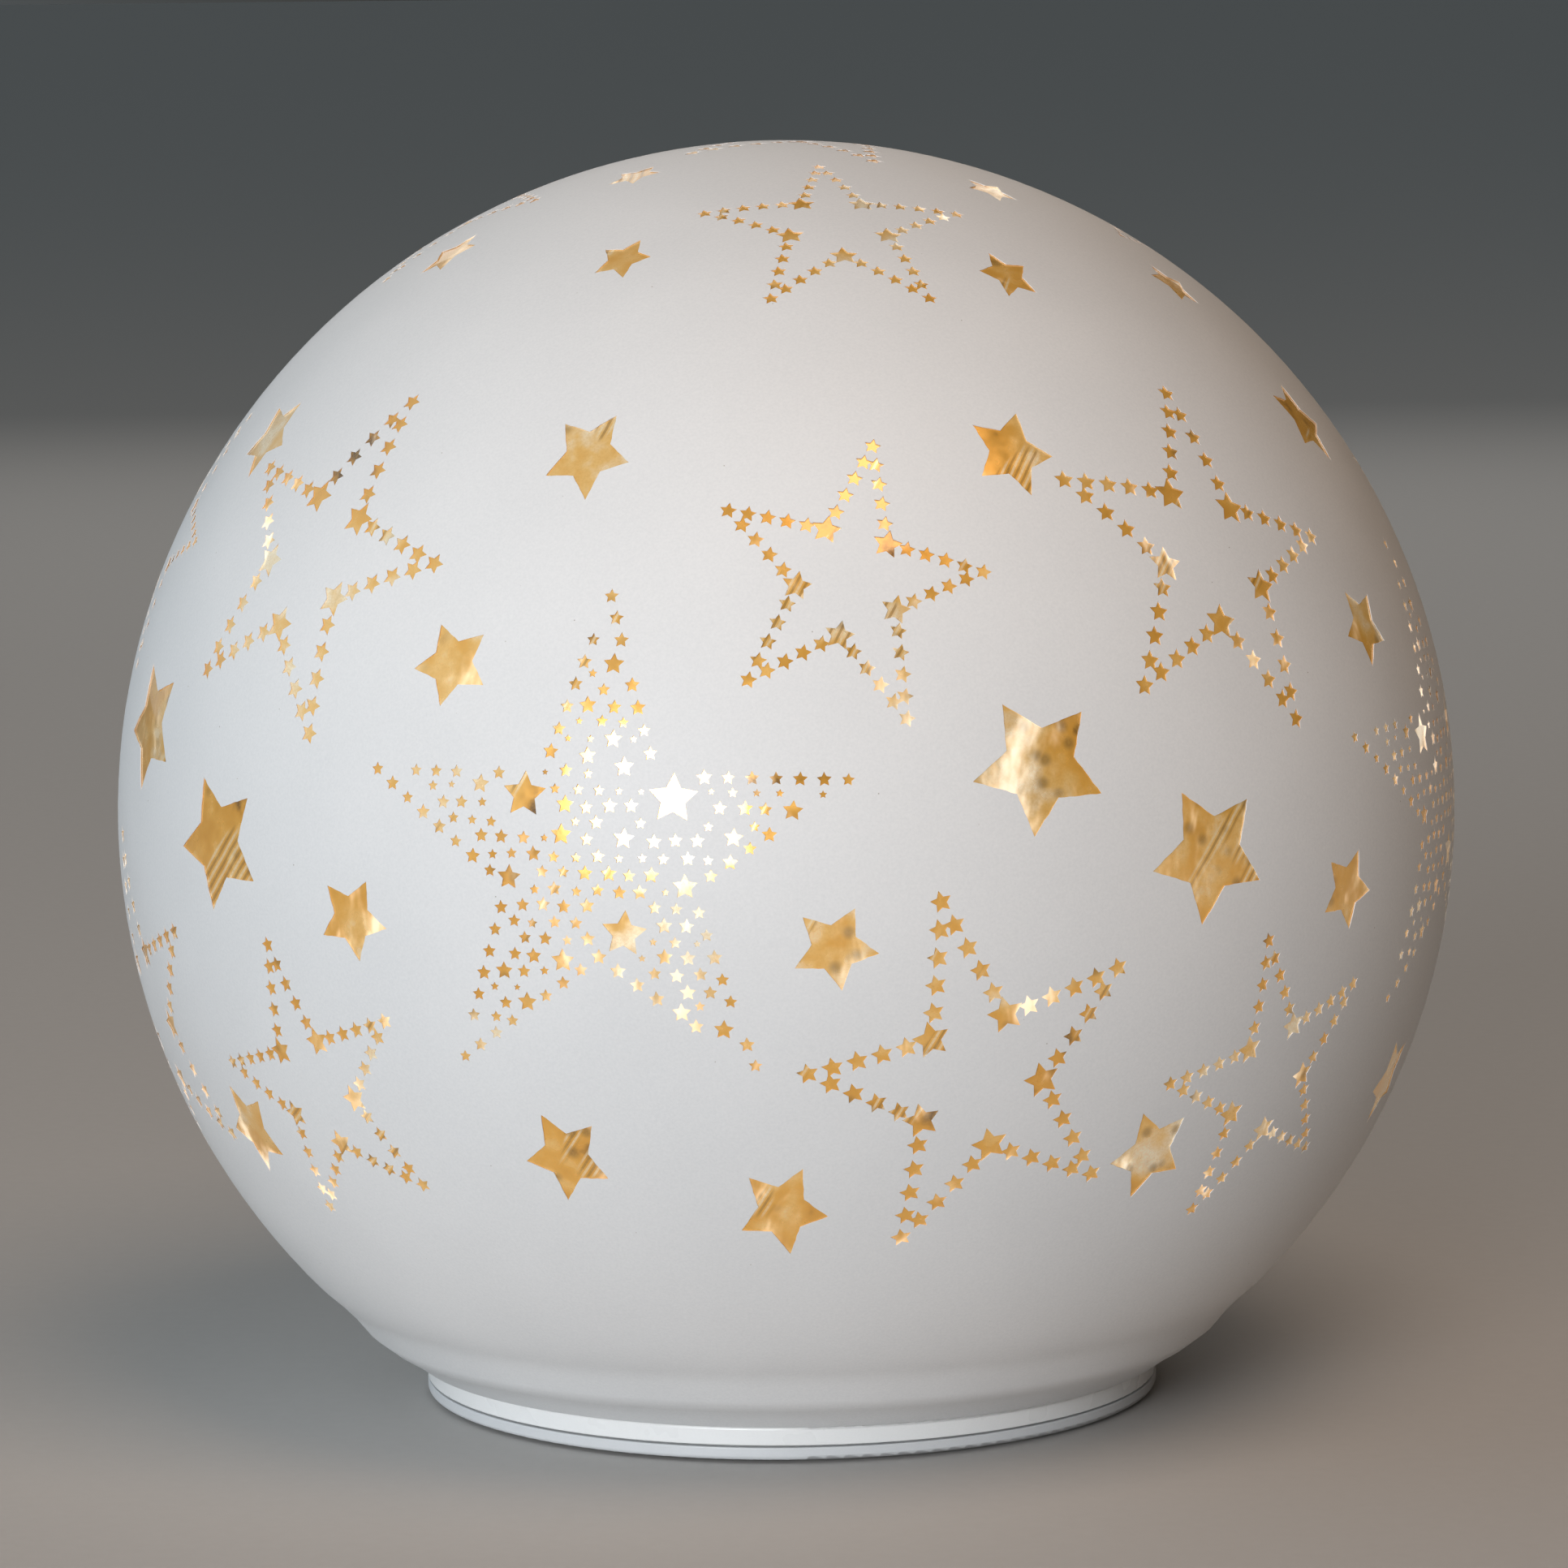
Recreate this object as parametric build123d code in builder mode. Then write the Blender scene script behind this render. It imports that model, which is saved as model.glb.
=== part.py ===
from build123d import *
from math import cos, sin, radians, sqrt
import os

# Battery-powered star globe light: a blown glass sphere on a thin round plastic base.
# Millimetres, +Z up, origin on the table under the globe's centre, front towards -Y.

# ---- driving dimensions -------------------------------------------------------------
GLOBE_R = 100.0          # outside of the glass sphere
GLOBE_Z = 88.0           # height of the sphere's centre above the table
GLASS = 2.6              # glass wall
RIM_Z = 5.7              # underside of the sphere where it meets the base
RIM_ROUND = 1.2          # rounding of the glass where it tucks in above the base
LINING = 0.4             # gold lining inside the glass
LINING_GAP = 0.05        # between the glass and the drawn lining
LINING_LOW = 12.0        # height where the lining ends, above the base
NECK_R = 53.6            # outside of the short glass neck that stands in the base
NECK_BOTTOM = 3.4

RING_R = 55.2            # outside of the two-layer base
PAD_BOTTOM = 0.0
COVER_BOTTOM = 0.5       # the base stands 0.5 mm up on its pads
SEAM_LOW = 2.4           # top of the cover's rim
SEAM_HIGH = 2.7          # bottom of the housing's lip: 0.3 mm seam
LIP_TOP = 5.6
COVER_TOP = 1.8          # inside face of the cover's plate
SPIGOT_R = 53.6          # housing's spigot, which drops inside the cover's rim
SPIGOT_BOTTOM = 1.9
RIM_IN_R = 53.8          # inside of the cover's rim
GROOVE_OUT_R = 53.9      # groove that takes the glass neck
GROOVE_BOTTOM = 3.2

DRUM_R = 50.4            # drum that rises inside the neck
DRUM_WALL = 1.8
ROOF_LOW = 26.0
ROOF_TOP = 27.8
GROMMET_R = 3.0          # centre hole in the roof

BOSS_R = 3.0             # cover screw bosses
BOSS_RADIUS = 43.0       # their distance from the axis
BOSS_ANGLES = (0, 180, 270)
BOSS_RIB = 1.4           # ribs that tie the bosses to the drum
BOSS_RIB_LOW = 5.9
PILOT_R = 1.1            # self-tapping pilot hole
PILOT_DEPTH = 14.0
SCREW_R = 1.4            # clearance for a screw's shank
HEAD_R = 2.6
SHANK_R = 1.1

PAD_R = 4.5
PAD_RADIUS = 45.0
PAD_RECESS = 0.5

BATTERY_R = 7.25         # AA cell
BATTERY_LENGTH = 50.5
NUB_LENGTH = 1.3
NUB_R = 2.75
BATTERY_PITCH = 15.0
BATTERY_Z = 10.4
CONTACT_X = 29.6         # contact faces at both ends of the bay
CONTACT_T = 0.4
CONTACT_LOW, CONTACT_HIGH = 6.0, 15.0
CONTACT_HALF = 5.0       # half the width of a single contact
TAB_WIDTH = 3.0
TAB_TOP = 20.6           # solder tabs reach through the bay's roof

BAY_LEFT, BAY_RIGHT = -32.0, 30.6
BAY_HALF_Y = 22.7
BAY_WALL = 1.6
BAY_CEILING = 17.9
BAY_TOP = 19.3
CELL_RIB_HALF = (18.0, 0.4)   # low ribs that part the cells
CELL_RIB_DROP = 3.0

HINGE_X, HINGE_Z = -30.2, 2.0
HINGE_PIN_R = 0.75
HINGE_BORE_R = 0.8
KNUCKLE_R = 1.25
KNUCKLE_Y = 12.0
KNUCKLE_LENGTH = 8.0
DOOR_GAP = 0.25
DOOR_LOW, DOOR_TOP = 0.7, 1.9
TONGUE_WIDTH = 12.0
TONGUE_LENGTH = 9.0
SLIT_WIDTH = 1.0
THUMB_RIBS, THUMB_RIB_PITCH = 4, 1.6
SADDLE_X = 12.0
SADDLE_WIDTH, SADDLE_HEIGHT = 2.0, 1.8

SWITCH_Y = 36.0
SWITCH_TRAVEL = 2.0      # each way from the middle position
KNOB_LENGTH, KNOB_WIDTH = 3.0, 1.9
KNOB_BOTTOM = 0.7
SWITCH_FLANGE_Z = 3.4
SWITCH_FLANGE_T = 0.8
SWITCH_SCREW_X = 7.4
SWITCH_PILOT_R = 0.7
PIN_X = (-2.5, 0.0, 2.5)
PIN_LENGTH = 2.6
RECESS = (16.0, 8.0, 0.4)   # finger recess around the knob: length, width, depth

BOARD_LOW, BOARD_TOP = 21.0, 22.2
BOARD_SIZE = (38.0, 22.0)
BOARD_Y = -3.0
BOARD_SCREW_X = 15.5
BOARD_PILOT_R = 0.8
LEG_PITCH = 1.27         # timer chip

POST_R = 4.0
POST_BORE_R = 2.4
POST_TOP = 112.0
POST_FLANGE_R = 10.0
POST_FLANGE_T = 2.0
POST_SCREW_X = 7.0
POST_PILOT_R = 0.9
WIRE_R = 0.4             # fairy-light wire wound on the post
WIRE_COIL_R = 4.5
WIRE_START, WIRE_PITCH, WIRE_TURNS = 34.0, 9.0, 8
BEAD_R = 1.4
BEADS_PER_TURN = 3
LEAD_R = 0.6

os.makedirs("parts", exist_ok=True)


def save(piece, name):
    """Label a finished piece and write its STEP file."""
    piece.part.label = name
    export_step(piece.part, f"parts/{name}.step")


def revolved_outline(*points):
    """A closed profile in the XZ plane, for a revolve about Z."""
    with BuildSketch(Plane.XZ) as profile:
        with BuildLine():
            Polyline(*points, close=True)
        make_face()
    return profile.sketch


def sphere_depth(radius, reach):
    """How far below a sphere's centre its wall is, at a distance reach from the axis."""
    return sqrt(radius**2 - reach**2)


def on_circle(radius, angle):
    return (radius * cos(radians(angle)), radius * sin(radians(angle)))


def box_between(low, high, mode=Mode.ADD):
    """A box from its lowest to its highest corner."""
    size = [b - a for a, b in zip(low, high)]
    middle = [(a + b) / 2 for a, b in zip(low, high)]
    with Locations(tuple(middle)):
        Box(*size, mode=mode)


boss_points = [on_circle(BOSS_RADIUS, angle) for angle in BOSS_ANGLES]
pad_points = [on_circle(PAD_RADIUS, angle) for angle in (45, 135, 225, 315)]
battery_rows = (-BATTERY_PITCH, 0.0, BATTERY_PITCH)
battery_ways = (1, -1, 1)          # the middle cell lies the other way round
switch_screw_points = [(side * SWITCH_SCREW_X, SWITCH_Y) for side in (-1, 1)]
board_screw_points = [(side * BOARD_SCREW_X, BOARD_Y) for side in (-1, 1)]
post_screw_points = [(side * POST_SCREW_X, 0) for side in (-1, 1)]

# ---- glass globe ----------------------------------------------------------------------
# Sphere wall, tucked in by a small rounding above the base, with a short neck.
INNER_R = GLOBE_R - GLASS
NECK_IN_R = NECK_R - GLASS
rim_reach = sphere_depth(GLOBE_R, GLOBE_Z - RIM_Z)
neck_join_z = GLOBE_Z - sphere_depth(INNER_R, NECK_IN_R)
with BuildPart() as glass_globe:
    with BuildSketch(Plane.XZ) as glass_profile:
        with BuildLine():
            ThreePointArc((0, GLOBE_Z + GLOBE_R), (GLOBE_R, GLOBE_Z), (rim_reach, RIM_Z))
            Polyline((rim_reach, RIM_Z), (NECK_R, RIM_Z), (NECK_R, NECK_BOTTOM),
                     (NECK_IN_R, NECK_BOTTOM), (NECK_IN_R, neck_join_z))
            ThreePointArc((NECK_IN_R, neck_join_z), (INNER_R, GLOBE_Z), (0, GLOBE_Z + INNER_R))
            Line((0, GLOBE_Z + INNER_R), (0, GLOBE_Z + GLOBE_R))
        make_face()
        corners = glass_profile.vertices()
        fillet(corners.filter_by_position(Axis.X, rim_reach - 0.1, rim_reach + 0.1), RIM_ROUND)
    revolve(axis=Axis.Z)
save(glass_globe, "glass_globe")

# Mirror-gold lacquer on the inside of the sphere, which shows through the star windows.
# The film is under 0.1 mm thick; it is drawn thicker, so that it is a sound solid.
lining_out_r = INNER_R - LINING_GAP
lining_in_r = lining_out_r - LINING
lining_edge_out = sphere_depth(lining_out_r, GLOBE_Z - LINING_LOW)
lining_edge_in = sphere_depth(lining_in_r, GLOBE_Z - LINING_LOW)
lining_top_out = (0, GLOBE_Z + lining_out_r)
lining_top_in = (0, GLOBE_Z + lining_in_r)
with BuildPart() as gold_lining:
    with BuildSketch(Plane.XZ):
        with BuildLine():
            ThreePointArc(lining_top_out, (lining_out_r, GLOBE_Z), (lining_edge_out, LINING_LOW))
            Line((lining_edge_out, LINING_LOW), (lining_edge_in, LINING_LOW))
            ThreePointArc((lining_edge_in, LINING_LOW), (lining_in_r, GLOBE_Z), lining_top_in)
            Line(lining_top_in, lining_top_out)
        make_face()
    revolve(axis=Axis.Z)
save(gold_lining, "gold_lining")

# Adhesive that bonds the neck in its groove: under the neck and up its inner side.
with BuildPart() as glue_ring:
    add(revolved_outline((DRUM_R, GROOVE_BOTTOM), (NECK_R, GROOVE_BOTTOM), (NECK_R, NECK_BOTTOM),
                         (NECK_IN_R, NECK_BOTTOM), (NECK_IN_R, neck_join_z - 0.1),
                         (DRUM_R, neck_join_z - 0.1)))
    revolve(axis=Axis.Z)
save(glue_ring, "glue_ring")

# ---- base housing -----------------------------------------------------------------------
# Upper layer of the base: outer lip, neck groove, inner drum with a roof, screw bosses.
drum_in_r = DRUM_R - DRUM_WALL
with BuildPart() as base_housing:
    add(revolved_outline(
        (drum_in_r, SPIGOT_BOTTOM), (SPIGOT_R, SPIGOT_BOTTOM), (SPIGOT_R, SEAM_HIGH),
        (RING_R, SEAM_HIGH), (RING_R, LIP_TOP), (GROOVE_OUT_R, LIP_TOP),
        (GROOVE_OUT_R, GROOVE_BOTTOM), (DRUM_R, GROOVE_BOTTOM), (DRUM_R, ROOF_TOP),
        (0, ROOF_TOP), (0, ROOF_LOW), (drum_in_r, ROOF_LOW)))
    revolve(axis=Axis.Z)
    lip_edges = base_housing.edges().filter_by(GeomType.CIRCLE).group_by(SortBy.RADIUS)[-1]
    fillet(lip_edges.sort_by(Axis.Z)[-1], 0.6)
    fillet(lip_edges.sort_by(Axis.Z)[0], 0.2)
    roof_edge = base_housing.edges().filter_by(GeomType.CIRCLE).group_by(Axis.Z)[-1]
    fillet(roof_edge, 1.4)
    for boss_x, boss_y in boss_points:
        with BuildSketch(Plane.XY.offset(SPIGOT_BOTTOM)):
            with Locations((boss_x, boss_y)):
                Circle(BOSS_R)
        extrude(amount=ROOF_LOW - SPIGOT_BOTTOM)
    for angle in BOSS_ANGLES:
        with BuildSketch(Plane.XY.offset(BOSS_RIB_LOW)):
            with Locations(Location(on_circle((BOSS_RADIUS + drum_in_r) / 2 + 1, angle), angle)):
                Rectangle(drum_in_r - BOSS_RADIUS, BOSS_RIB)
        extrude(amount=ROOF_LOW - BOSS_RIB_LOW)
    with BuildSketch(Plane.XY.offset(SPIGOT_BOTTOM)):
        with Locations(*boss_points):
            Circle(PILOT_R)
    extrude(amount=PILOT_DEPTH, mode=Mode.SUBTRACT)
    # centre hole for the lead's grommet, and two pilot holes for the post's screws
    with BuildSketch(Plane.XY.offset(ROOF_LOW)):
        Circle(GROMMET_R)
        with Locations(*post_screw_points):
            Circle(POST_PILOT_R)
    extrude(amount=ROOF_TOP - ROOF_LOW, mode=Mode.SUBTRACT)
save(base_housing, "base_housing")

# ---- bottom cover -------------------------------------------------------------------------
# Lower layer of the base: plate and rim, with the battery bay moulded in one with it.
bay_out = (BAY_LEFT - BAY_WALL, BAY_RIGHT + BAY_WALL, BAY_HALF_Y + BAY_WALL)
contact_back = CONTACT_X + CONTACT_T
contact_pad_half = CONTACT_HALF + 0.5
tab_slot_x, tab_slot_y = 0.8, 2.0
with BuildPart() as bottom_cover:
    add(revolved_outline((0, COVER_BOTTOM), (RING_R, COVER_BOTTOM), (RING_R, SEAM_LOW),
                         (RIM_IN_R, SEAM_LOW), (RIM_IN_R, COVER_TOP), (0, COVER_TOP)))
    revolve(axis=Axis.Z)
    rim_edges = bottom_cover.edges().filter_by(GeomType.CIRCLE).group_by(SortBy.RADIUS)[-1]
    fillet(rim_edges.sort_by(Axis.Z)[0], 0.7)
    fillet(rim_edges.sort_by(Axis.Z)[-1], 0.2)
    box_between((bay_out[0], -bay_out[2], COVER_TOP), (bay_out[1], bay_out[2], BAY_TOP))
    box_between((BAY_LEFT, -BAY_HALF_Y, COVER_BOTTOM), (BAY_RIGHT, BAY_HALF_Y, BAY_CEILING),
                Mode.SUBTRACT)
    # pads behind the contacts, and low ribs that part the cells
    for row in battery_rows:
        pad_low, pad_high = row - contact_pad_half, row + contact_pad_half
        box_between((BAY_LEFT, pad_low, CONTACT_LOW), (-contact_back, pad_high, CONTACT_HIGH))
        box_between((contact_back, pad_low, CONTACT_LOW), (BAY_RIGHT, pad_high, CONTACT_HIGH))
    for side in (-1, 1):
        rib_y = side * BATTERY_PITCH / 2
        box_between((-CELL_RIB_HALF[0], rib_y - CELL_RIB_HALF[1], BAY_CEILING - CELL_RIB_DROP),
                    (CELL_RIB_HALF[0], rib_y + CELL_RIB_HALF[1], BAY_CEILING))
    # slots in the bay's roof for the two solder tabs
    for side in (-1, 1):
        slot_x, slot_y = side * (CONTACT_X + CONTACT_T / 2), side * BATTERY_PITCH
        box_between((slot_x - tab_slot_x, slot_y - tab_slot_y, BAY_CEILING),
                    (slot_x + tab_slot_x, slot_y + tab_slot_y, BAY_TOP), Mode.SUBTRACT)
    # stand-offs for the circuit board
    with BuildSketch(Plane.XY.offset(BAY_TOP)):
        with Locations(*board_screw_points):
            Circle(2.4)
    extrude(amount=BOARD_LOW - BAY_TOP)
    with BuildSketch(Plane.XY.offset(BAY_CEILING)):
        with Locations(*board_screw_points):
            Circle(BOARD_PILOT_R)
    extrude(amount=BOARD_LOW - BAY_CEILING, mode=Mode.SUBTRACT)
    # stand-offs for the switch
    with BuildSketch(Plane.XY.offset(COVER_TOP)):
        with Locations(*switch_screw_points):
            Circle(1.7)
    extrude(amount=SWITCH_FLANGE_Z - COVER_TOP)
    with BuildSketch(Plane.XY.offset(COVER_BOTTOM + 0.8)):
        with Locations(*switch_screw_points):
            Circle(SWITCH_PILOT_R)
    extrude(amount=SWITCH_FLANGE_Z - COVER_BOTTOM, mode=Mode.SUBTRACT)
    # shallow finger recess and slot for the switch's knob
    with BuildSketch(Plane.XY.offset(COVER_BOTTOM)):
        with Locations((0, SWITCH_Y)):
            SlotOverall(RECESS[0], RECESS[1])
    extrude(amount=RECESS[2], mode=Mode.SUBTRACT)
    with BuildSketch(Plane.XY.offset(COVER_BOTTOM)):
        with Locations((0, SWITCH_Y)):
            Rectangle(KNOB_LENGTH + 2 * SWITCH_TRAVEL + 0.4, KNOB_WIDTH + 0.4)
    extrude(amount=COVER_TOP - COVER_BOTTOM, mode=Mode.SUBTRACT)
    # sunk screw holes and pad recesses
    with BuildSketch(Plane.XY.offset(COVER_BOTTOM)):
        with Locations(*boss_points):
            Circle(SCREW_R)
    extrude(amount=COVER_TOP - COVER_BOTTOM, mode=Mode.SUBTRACT)
    with BuildSketch(Plane.XY.offset(COVER_BOTTOM)):
        with Locations(*boss_points):
            Circle(HEAD_R + 0.3)
        with Locations(*pad_points):
            Circle(PAD_R)
    extrude(amount=PAD_RECESS, mode=Mode.SUBTRACT)
    # hinge pin's blind holes in the bay's side walls
    pin_hole_half = BAY_HALF_Y + 1.4
    with BuildSketch(Plane.XZ.offset(-pin_hole_half)):
        with Locations((HINGE_X, HINGE_Z)):
            Circle(HINGE_PIN_R)
    extrude(amount=2 * pin_hole_half, mode=Mode.SUBTRACT)
save(bottom_cover, "bottom_cover")

# ---- battery door ---------------------------------------------------------------------------
# Plate with a snap tongue at its free end, two knuckles at its hinge and saddles for the cells.
door_left = HINGE_X
door_right = BAY_RIGHT - DOOR_GAP
door_half_y = BAY_HALF_Y - DOOR_GAP
with BuildPart() as battery_door:
    box_between((door_left, -door_half_y, DOOR_LOW), (door_right, door_half_y, DOOR_TOP))
    for side in (-1, 1):
        with BuildSketch(Plane.XZ.offset(-(side * KNUCKLE_Y + KNUCKLE_LENGTH / 2))):
            with Locations((HINGE_X, HINGE_Z)):
                Circle(KNUCKLE_R)
        extrude(amount=KNUCKLE_LENGTH)
    with BuildSketch(Plane.XZ.offset(-door_half_y)):
        with Locations((HINGE_X, HINGE_Z)):
            Circle(HINGE_BORE_R)
    extrude(amount=2 * door_half_y, mode=Mode.SUBTRACT)
    # the plate is cut back from the pin between and outside the knuckles
    knuckle_in, knuckle_out = KNUCKLE_Y - KNUCKLE_LENGTH / 2, KNUCKLE_Y + KNUCKLE_LENGTH / 2
    for low_y, high_y in ((-door_half_y, -knuckle_out), (-knuckle_in, knuckle_in),
                          (knuckle_out, door_half_y)):
        box_between((HINGE_X - 1, low_y, DOOR_LOW - 1), (HINGE_X + 1.4, high_y, DOOR_TOP + 2),
                    Mode.SUBTRACT)
    # two slits that free the tongue, and ribs that grip the thumb
    for side in (-1, 1):
        slit_y = side * TONGUE_WIDTH / 2
        box_between((door_right - TONGUE_LENGTH, slit_y - SLIT_WIDTH / 2, DOOR_LOW),
                    (door_right, slit_y + SLIT_WIDTH / 2, DOOR_TOP), Mode.SUBTRACT)
    for step in range(THUMB_RIBS):
        rib_x = door_right - 2.0 - THUMB_RIB_PITCH * step
        box_between((rib_x - 0.35, -4.5, DOOR_LOW - 0.15), (rib_x + 0.35, 4.5, DOOR_LOW))
    # saddles under the cells
    saddle_half_y = 20.0
    for saddle_x in (-SADDLE_X, SADDLE_X):
        with BuildSketch(Plane.YZ.offset(saddle_x - SADDLE_WIDTH / 2)):
            with Locations((0, DOOR_TOP + SADDLE_HEIGHT / 2)):
                Rectangle(2 * saddle_half_y, SADDLE_HEIGHT)
            with Locations(*[(row, BATTERY_Z) for row in battery_rows]):
                Circle(BATTERY_R + 0.15, mode=Mode.SUBTRACT)
        extrude(amount=SADDLE_WIDTH)
save(battery_door, "battery_door")

pin_half = BAY_HALF_Y + 1.3
with BuildPart() as door_hinge_pin:
    with BuildSketch(Plane.XZ.offset(-pin_half)):
        with Locations((HINGE_X, HINGE_Z)):
            Circle(HINGE_PIN_R)
    extrude(amount=2 * pin_half)
save(door_hinge_pin, "door_hinge_pin")

# ---- cells, springs and contacts ----------------------------------------------------------------
spring_space = 2 * CONTACT_X - BATTERY_LENGTH
SPRING_WIRE_R = 0.4
SPRING_COIL_R = 3.2
SPRING_END_GAP = 0.1
SPRING_TURNS = 3.5
for number, (row, way) in enumerate(zip(battery_rows, battery_ways), start=1):
    # the cell's nub touches the contact that it points at
    with BuildPart() as battery:
        flat_end = (way * (CONTACT_X - BATTERY_LENGTH), row, BATTERY_Z)
        with BuildSketch(Plane(origin=flat_end, z_dir=(way, 0, 0))):
            Circle(BATTERY_R)
        extrude(amount=BATTERY_LENGTH - NUB_LENGTH)
        fillet(battery.edges().filter_by(GeomType.CIRCLE), 0.6)
        nub_foot = (way * (CONTACT_X - NUB_LENGTH), row, BATTERY_Z)
        with BuildSketch(Plane(origin=nub_foot, z_dir=(way, 0, 0))):
            Circle(NUB_R)
        extrude(amount=NUB_LENGTH)
        fillet(battery.edges().group_by(Axis.X)[-1 if way > 0 else 0], 0.4)
    save(battery, f"battery_{number}")

    # helical spring between the other contact and the cell's flat end
    spring_length = spring_space - 2 * (SPRING_WIRE_R + SPRING_END_GAP)
    spring_start = -way * (CONTACT_X - SPRING_WIRE_R - SPRING_END_GAP)
    with BuildPart() as spring:
        with BuildLine() as coil:
            Helix(pitch=spring_length / SPRING_TURNS, height=spring_length, radius=SPRING_COIL_R,
                  center=(spring_start, row, BATTERY_Z), direction=(way, 0, 0))
        with BuildSketch(Plane(origin=coil.line @ 0, z_dir=coil.line % 0)):
            Circle(SPRING_WIRE_R)
        sweep(path=coil.line, is_frenet=True)
    save(spring, f"battery_spring_{number}")


def contact(side, low_y, high_y, tab_y=None):
    """A flat contact at one end of the bay, with an optional solder tab through the roof."""
    faces = sorted((side * CONTACT_X, side * (CONTACT_X + CONTACT_T)))
    with BuildPart() as plate:
        box_between((faces[0], low_y, CONTACT_LOW), (faces[1], high_y, CONTACT_HIGH))
        fillet(plate.edges().filter_by(Axis.X), 1.0)
        if tab_y is not None:
            box_between((faces[0], tab_y - TAB_WIDTH / 2, CONTACT_HIGH - 1),
                        (faces[1], tab_y + TAB_WIDTH / 2, TAB_TOP))
    return plate


near, far = BATTERY_PITCH - CONTACT_HALF, BATTERY_PITCH + CONTACT_HALF
save(contact(1, -far, CONTACT_HALF), "contact_link_1")
save(contact(-1, -CONTACT_HALF, far), "contact_link_2")
save(contact(1, near, far, BATTERY_PITCH), "contact_positive")
save(contact(-1, -far, -near, -BATTERY_PITCH), "contact_negative")

# ---- circuit board and what is on it --------------------------------------------------------------
with BuildPart() as circuit_board:
    with BuildSketch(Plane.XY.offset(BOARD_LOW)):
        with Locations((0, BOARD_Y)):
            RectangleRounded(*BOARD_SIZE, 1.5)
        with Locations(*board_screw_points):
            Circle(1.1, mode=Mode.SUBTRACT)
    extrude(amount=BOARD_TOP - BOARD_LOW)
save(circuit_board, "circuit_board")

with BuildPart() as timer_chip:
    chip_x, chip_y = -7.0, -7.0
    box_between((chip_x - 2.5, chip_y - 2, BOARD_TOP + 0.2), (chip_x + 2.5, chip_y + 2, BOARD_TOP + 1.7))
    chamfer(timer_chip.edges().group_by(Axis.Z)[-1], 0.25)
    for column in range(4):
        leg_x = chip_x + LEG_PITCH * (column - 1.5)
        for side in (-1, 1):
            leg_ends = sorted((chip_y + side * 1.9, chip_y + side * 3.0))
            box_between((leg_x - 0.2, leg_ends[0], BOARD_TOP), (leg_x + 0.2, leg_ends[1], BOARD_TOP + 0.5))
save(timer_chip, "timer_chip")

with BuildPart() as resistors:
    for resistor_x in (3.0, 7.0, 11.0):
        box_between((resistor_x - 0.8, -9.6, BOARD_TOP), (resistor_x + 0.8, -6.4, BOARD_TOP + 0.6))
save(resistors, "resistors")

with BuildPart() as capacitor:
    with BuildSketch(Plane.XY.offset(BOARD_TOP)):
        with Locations((9.0, 1.0)):
            Circle(2.5)
    extrude(amount=3.2)
    fillet(capacitor.edges().group_by(Axis.Z)[-1], 0.4)
save(capacitor, "capacitor")


def screws(points, head_top, head_height, head_r, shank_r, shank_length, upward):
    """A group of pan-head screws; upward is 1 for screws driven up from below."""
    with BuildPart() as group:
        for x, y in points:
            with BuildSketch(Plane(origin=(x, y, head_top), z_dir=(0, 0, upward))):
                Circle(head_r)
            extrude(amount=head_height)
            with BuildSketch(Plane(origin=(x, y, head_top), z_dir=(0, 0, upward))):
                Circle(shank_r)
            extrude(amount=head_height + shank_length)
            # cross recess in the head
            with BuildSketch(Plane(origin=(x, y, head_top), z_dir=(0, 0, upward))):
                Rectangle(1.2 * head_r, 0.28 * head_r)
                Rectangle(0.28 * head_r, 1.2 * head_r)
            extrude(amount=0.6 * head_height, mode=Mode.SUBTRACT)
    return group


HEAD_HEIGHT = 0.7
board_screws = screws(board_screw_points, BOARD_TOP + HEAD_HEIGHT, HEAD_HEIGHT, 1.6,
                      BOARD_PILOT_R, 3.0, -1)
save(board_screws, "board_screws")

# ---- slide switch ---------------------------------------------------------------------------------
SWITCH_BODY_HALF = (5.0, 2.6)
SWITCH_BODY_LOW, SWITCH_BODY_TOP = 2.0, 7.2
HEAD_LENGTH, HEAD_WIDTH = 4.0, 2.8
HEAD_LOW, HEAD_TOP = 2.6, 4.6
with BuildPart() as switch_body:
    box_between((-SWITCH_BODY_HALF[0], SWITCH_Y - SWITCH_BODY_HALF[1], SWITCH_BODY_LOW),
                (SWITCH_BODY_HALF[0], SWITCH_Y + SWITCH_BODY_HALF[1], SWITCH_BODY_TOP))
    fillet(switch_body.edges().filter_by(Axis.Z), 0.4)
    with BuildSketch(Plane.XY.offset(SWITCH_FLANGE_Z)):
        with Locations((0, SWITCH_Y)):
            SlotOverall(2 * SWITCH_SCREW_X + 4, 4)
    extrude(amount=SWITCH_FLANGE_T)
    with BuildSketch(Plane.XY.offset(SWITCH_FLANGE_Z)):
        with Locations(*switch_screw_points):
            Circle(0.95)
    extrude(amount=SWITCH_FLANGE_T, mode=Mode.SUBTRACT)
    # channel for the slider, open below
    head_run = HEAD_LENGTH / 2 + SWITCH_TRAVEL + 0.2
    box_between((-head_run, SWITCH_Y - HEAD_WIDTH / 2 - 0.2, SWITCH_BODY_LOW),
                (head_run, SWITCH_Y + HEAD_WIDTH / 2 + 0.2, HEAD_TOP + 0.2), Mode.SUBTRACT)
save(switch_body, "switch_body")

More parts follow.
